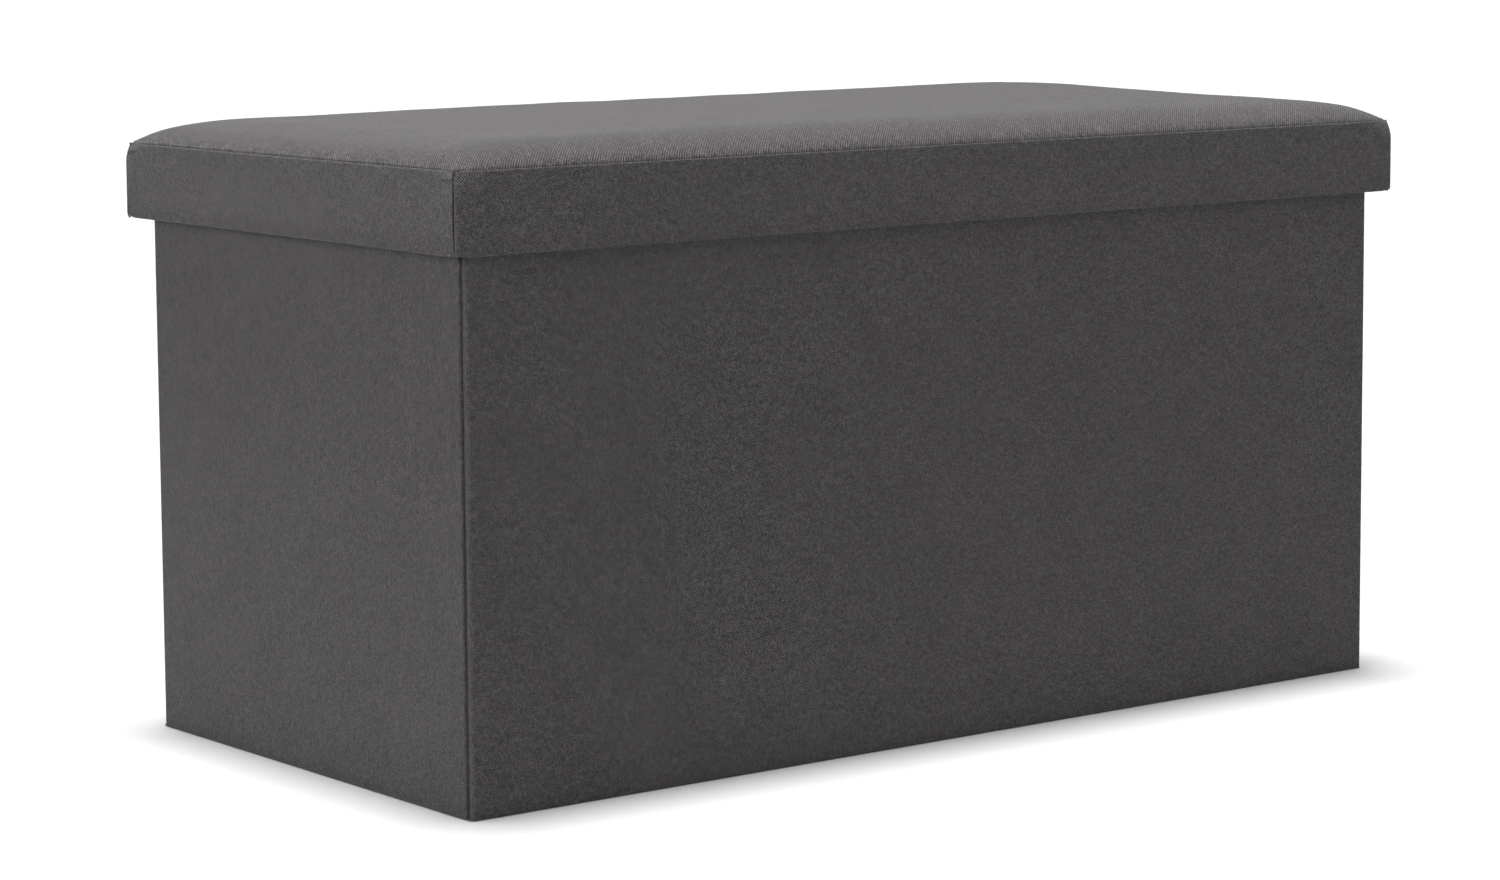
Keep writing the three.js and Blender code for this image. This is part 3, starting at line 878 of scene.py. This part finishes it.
def offset_ring(box, reach_out, radius=3 * MM):
    """A rounded outline that stands out from a box, and the box's middle along y."""
    half_x, half_y = (box[1][X] - box[0][X]) / 2 + reach_out, (box[1][Y] - box[0][Y]) / 2 + reach_out
    return outline(half_x, half_y, radius, 9 * MM), (box[0][Y] + box[1][Y]) / 2


def ring_cloth(name, outer, centre_y, path, thickness, material, relief=None):
    points, uvs = ring_grid(outer, path)
    points[..., 1] += centre_y
    if relief is not None:
        points[..., 2] += relief(points[..., 0], points[..., 1])
    piece = cloth(name, points, uvs, thickness, material, wrap=True)
    weld(piece)
    return piece


def inward(start, reach, height, count=14):
    """A level path from an inset to the middle line."""
    return [(inset, height) for inset in np.linspace(start, reach, count)]


def bottom_cloth():
    outer, centre_y = offset_ring(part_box("bottom_cloth"), -0.6 * MM)
    path = inward(0, outer[:, 1].max(), 0.75 * MM)
    piece = ring_cloth("bottom_sheet", outer, centre_y, path, 0.7 * MM, LINING)
    declare(piece, "box", "lining_cloth", "bottom_cloth")


def base_cloths():
    """The base board's cover: the top cloth turns down over its edges, and the under cloth meets it."""
    top = high("base_top_cloth", Z)
    bottom = low("base_under_cloth", Z)
    outer, centre_y = offset_ring(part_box("base_board"), 0.3 * MM, radius=0.8 * MM)
    reach = outer[:, 1].max()
    turn = [(inset, top - depth) for inset, depth in arc(1.3 * MM, 1.3 * MM, 1.3 * MM, 180, 90, 4)]
    tuck = [(0.8, 0.15), (0.15, 0.3), (0, 0.8), (0, 1.8)]
    path = [(inset * MM, bottom + lift * MM) for inset, lift in tuck] + turn + inward(4 * MM, reach, top, 20)

    def sag(x, y):
        edge = np.minimum(LINING_X - np.abs(x), LINING_Y - np.abs(y))
        return 0.25 * MM * (ripple(x, y, 51, 0.03, 0.2) - 0.5) * np.clip(edge / (30 * MM), 0, 1)

    piece = ring_cloth("base_top_sheet", outer, centre_y, path, 0.5 * MM, LINING, sag)
    declare(piece, "base", "lining_cloth", "base_top_cloth")
    path = [(0.9 * MM, bottom + 0.5 * MM)] + inward(2 * MM, reach, bottom + 0.5 * MM, 20)
    piece = ring_cloth("base_under_sheet", outer, centre_y, path, 0.45 * MM, LINING)
    declare(piece, "base", "lining_cloth", "base_under_cloth")


TAB_TOP = high("base_pull_tab", Z) + 0.5 * MM


def tab_rows():
    """A square with one diagonal, which holds the pull tab down at its inner end."""
    tab_low, tab_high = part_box("base_pull_tab")
    left, right = tab_low[X] + 2.5 * MM, tab_high[X] - 2.5 * MM
    near, far = tab_high[Y] - 11 * MM, tab_high[Y] - 2.5 * MM
    ends = [(left, near, right, near), (left, far, right, far), (left, near, left, far),
            (right, near, right, far), (left, near, right, far)]
    return [((x0, y0, TAB_TOP), (x1, y1, TAB_TOP), UP) for x0, y0, x1, y1 in ends]


def base_stitches():
    """A row round the top cloth, and the rows that hold the hinge strip and the pull tab."""
    (x0, y0, _), (x1, _, z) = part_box("base_top_cloth")
    inset = 5 * MM
    x0, x1, y0, y1 = x0 + inset, x1 - inset, y0 + inset, low("hinge_strip_base", Y)
    rows = [((x0, y0, z), (x1, y0, z), UP), ((x1, y0, z), (x1, y1, z), UP), ((x0, y1, z), (x0, y0, z), UP)]
    strip_top = high("hinge_strip_base", Z) + 0.05 * MM
    strip_edge = low("hinge_strip_base", Y) + 2.5 * MM
    rows.append(((x0, strip_edge, strip_top), (x1, strip_edge, strip_top), UP))
    stitch_rows("base_stitches", "base", rows + tab_rows())


def swept_strip(section, xs):
    """Grid points and uvs of a strip whose section of (y, z) runs straight along x, and its girth."""
    distance = travelled(section[:, 0], section[:, 1])
    points = np.array([[(x, y, height) for y, height in section] for x in xs])
    uvs = np.array([[(x, d) for d in distance] for x in xs])
    return points, uvs, float(distance[-1])


def pull_tab():
    """A loop of tape, folded back on itself and sewn down at its inner end."""
    (x0, y0, _), (x1, y1, _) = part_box("base_pull_tab")
    z = high("base_top_cloth", Z) + 0.15 * MM
    radius = (TAB_TOP - z) / 2
    fold = [(y0 + radius * (1 - math.sin(a)), z + radius - radius * math.cos(a))
            for a in np.radians(np.linspace(0, 180, 9))]
    section = [(y, z) for y in np.linspace(y1, y0 + radius, 12)[:-1]] + fold
    section += [(y, TAB_TOP) for y in np.linspace(y0 + radius, y1, 12)[1:]]
    section = np.array(section)
    section[:, 1] = np.maximum(section[:, 1], z)
    points, uvs, girth = swept_strip(section, np.linspace(x1, x0, 9))
    piece = cloth("pull_tab_tape", points, uvs, 0.45 * MM, WEBBING)
    declare(piece, "base", "webbing", "base_pull_tab")


def hinge_strip():
    """One strip of cloth, sewn to the base's back edge and to the wall, that bends between them."""
    (x0, y0, _), (x1, _, z1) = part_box("hinge_strip_base")
    wall_y = low("hinge_strip_wall", Y)
    top = high("hinge_strip_wall", Z)
    radius = 2.5 * MM
    section = [(y, z1) for y in np.linspace(y0, wall_y - radius, 9)[:-1]]
    section += [(wall_y - radius + radius * math.sin(a), z1 + radius - radius * math.cos(a))
                for a in np.radians(np.linspace(0, 90, 9))]
    section += [(wall_y, z) for z in np.linspace(z1 + radius, top, 9)[1:]]
    points, uvs, girth = swept_strip(np.array(section), np.linspace(x0, x1, 81))
    piece = cloth("hinge_strip_cloth", points, uvs, 0.45 * MM, LINING)
    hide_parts("hinge_strip_base", "hinge_strip_wall")
    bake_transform(piece)


bottom_cloth()
base_cloths()
pull_tab()
hinge_strip()
base_stitches()


def lid_lining():
    """A shallow tray of cloth under the lid board, whose sides run down inside the rim boards."""
    low_corner, high_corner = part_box("lid_lining")
    outer, centre_y = offset_ring((low_corner, high_corner), 0)
    reach = outer[:, 1].max()
    top = high_corner[Z]
    turn = [(inset, top - depth) for inset, depth in arc(2 * MM, 2 * MM, 2 * MM, 180, 90, 4)]
    path = [(0, low_corner[Z]), (0, low_corner[Z] + 8 * MM), (0, low_corner[Z] + 16 * MM)] + turn
    path += inward(5 * MM, reach, top, 22)

    def sag(x, y):
        edge = np.minimum(high_corner[X] - np.abs(x), high_corner[Y] - np.abs(y))
        return 0.5 * MM * (ripple(x, y, 61, 0.04, 0.25) - 1) * np.clip((edge - 14 * MM) / (40 * MM), 0, 1)

    piece = ring_cloth("lid_lining_sheet", outer, centre_y, path, 0.6 * MM, LINING, sag)
    declare(piece, "lid", "lining_cloth", "lid_lining")


lid_lining()


# ---- Boards and tapes, which keep their CAD shapes ----
def finish_cad_nodes():
    for name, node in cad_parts.items():
        if name.endswith("_board") or "_rim_board_" in name:
            give_material(node, BOARD)
        elif name.endswith("_fold_tape"):
            give_material(node, FOLD_TAPE)


def give_material(node, material):
    if not node.material_slots:
        node.data.materials.append(material)
    for slot in node.material_slots:
        slot.material = material


finish_cad_nodes()


# ---- Floor and light ----
FLOOR_TONE = 0.45
SUN_STRENGTH = 6.7
SUN_SLANT = 0.03  # how far the overhead light runs towards the front, for each metre down
SUN_WIDTH = 14  # degrees across, which softens its shadows
FILL_PLACE = Vector((-2.4, -0.8, 1.1))
FILL_AIM = Vector((0, 0, 0.2))
FILL_POWER = 25
FILL_WIDTH = 0.9
# The white room shines evenly from below up to the first height, and is dim above the second.
# Both are the upward part of a direction one long.
ROOM_HEIGHTS = (0.25, 0.6)
ROOM_GLOW = (1.3, 0.2)
# It also dims behind the bench, by the part of that direction that lies towards the front left.
FRONT_LEFT = (-0.45, -0.89, 0)
ROOM_DEPTHS = (-0.8, 0.2)
ROOM_SHARE = (0.2, 1.0)


def make_stage():
    """A pale floor just below the bench's underside, far wider than any view."""
    mesh = bmesh.new()
    bmesh.ops.create_circle(mesh, cap_ends=True, radius=60, segments=96)
    data = bpy.data.meshes.new("floor")
    mesh.to_mesh(data)
    mesh.free()
    floor = bpy.data.objects.new("floor", data)
    floor.location.z = -0.2 * MM
    bpy.context.scene.collection.objects.link(floor)
    s = Shader("pale floor")
    data.materials.append(s.finish((FLOOR_TONE, FLOOR_TONE, FLOOR_TONE), 1.0, specular=0.0))


def add_light(name, kind, direction, **settings):
    data = bpy.data.lights.new(name, kind)
    for key, value in settings.items():
        setattr(data, key, value)
    light = bpy.data.objects.new(name, data)
    light.rotation_mode = "QUATERNION"
    light.rotation_quaternion = Vector(direction).to_track_quat("-Z", "Y")
    bpy.context.scene.collection.objects.link(light)
    return light


def make_lights():
    """A soft light overhead, a disk on the left, and a white room that is dim overhead and behind."""
    add_light("overhead", "SUN", (0.0, -SUN_SLANT, -1), energy=SUN_STRENGTH, angle=math.radians(SUN_WIDTH))
    fill = add_light("left_fill", "AREA", FILL_AIM - FILL_PLACE, energy=FILL_POWER, shape="DISK",
                     size=FILL_WIDTH)
    fill.location = FILL_PLACE
    make_room()
    bpy.context.scene.view_settings.view_transform = "Standard"


def room_range(tree, value, given, wanted):
    """Carries a value from one range over to another, and stops at its ends."""
    node = tree.nodes.new("ShaderNodeMapRange")
    for target, number in zip(node.inputs[1:5], (*given, *wanted)):
        target.default_value = number
    tree.links.new(value, node.inputs[0])
    return node.outputs[0]


def room_math(tree, operation, first, second):
    node = tree.nodes.new("ShaderNodeMath")
    node.operation = operation
    tree.links.new(first, node.inputs[0])
    tree.links.new(second, node.inputs[1])
    return node.outputs[0]


def make_room():
    """The white room round the bench, from a direction's height and from its side."""
    world = bpy.data.worlds.new("room")
    world.use_nodes = True
    tree = world.node_tree
    place = tree.nodes.new("ShaderNodeTexCoord").outputs["Generated"]
    split = tree.nodes.new("ShaderNodeSeparateXYZ")
    toward = tree.nodes.new("ShaderNodeVectorMath")
    toward.operation = "DOT_PRODUCT"
    toward.inputs[1].default_value = FRONT_LEFT
    tree.links.new(place, split.inputs[0])
    tree.links.new(place, toward.inputs[0])
    glow = room_range(tree, split.outputs[2], ROOM_HEIGHTS, ROOM_GLOW)
    share = room_range(tree, toward.outputs["Value"], ROOM_DEPTHS, ROOM_SHARE)
    # Past the floor's edge a plain white wall shows, whichever way the camera looks.
    seen = tree.nodes.new("ShaderNodeLightPath").outputs["Is Camera Ray"]
    strength = room_math(tree, "MAXIMUM", room_math(tree, "MULTIPLY", glow, share), seen)
    tree.nodes["Background"].inputs["Color"].default_value = (1, 1, 1, 1)
    tree.links.new(strength, tree.nodes["Background"].inputs["Strength"])
    bpy.context.scene.world = world


make_stage()
make_lights()
